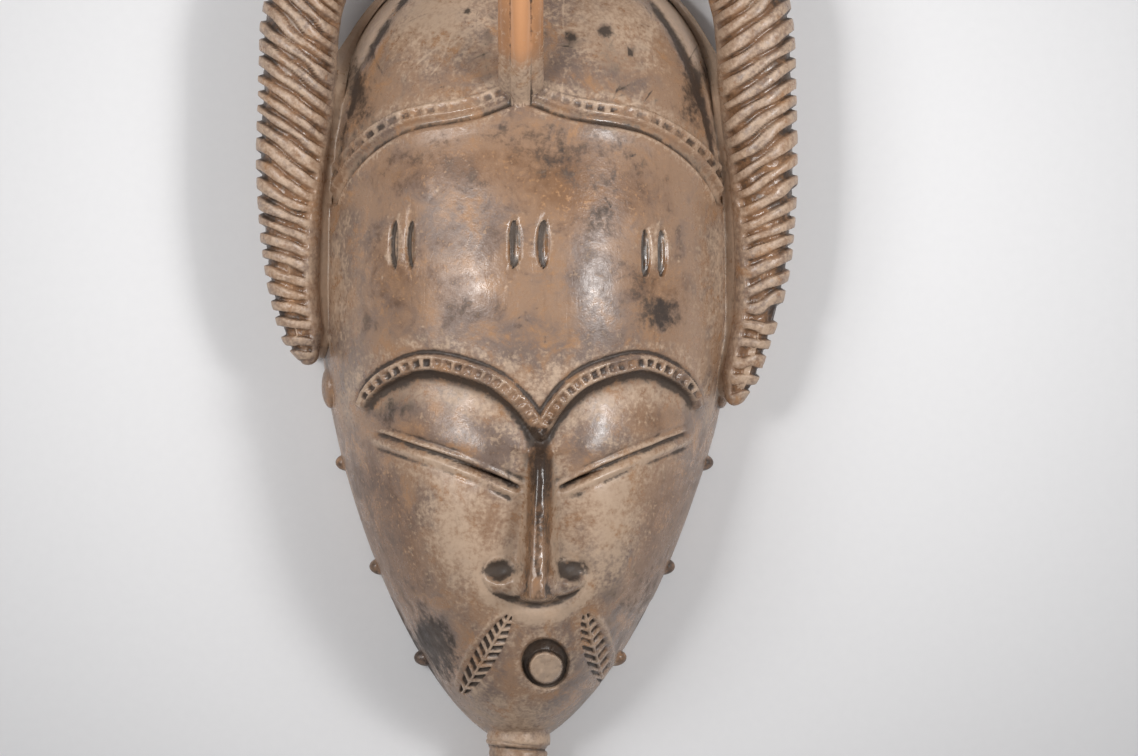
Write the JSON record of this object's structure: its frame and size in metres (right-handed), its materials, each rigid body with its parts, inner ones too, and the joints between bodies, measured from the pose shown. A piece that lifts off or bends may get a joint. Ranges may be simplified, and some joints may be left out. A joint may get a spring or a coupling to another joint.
{
  "type": "baule mask",
  "caption": "Hollow carved wooden face mask with arched brows, slit eyes, small round mouth, ridged horns round the crown, a long-billed bird and a short beard.",
  "frame": {"origin": "on the flat back rim's plane, under the middle of the overall width and length", "axes": "+Z the way the face looks, away from the rim; +Y from the chin to the crown; +X to the viewer's right"},
  "size_m": [0.217, 0.4038, 0.1234],
  "materials": {
    "wood": "satin brown patina with pale dust in the cuts"
  },
  "bodies": {
    "root": {"mask": "wood"}
  },
  "joints": []
}
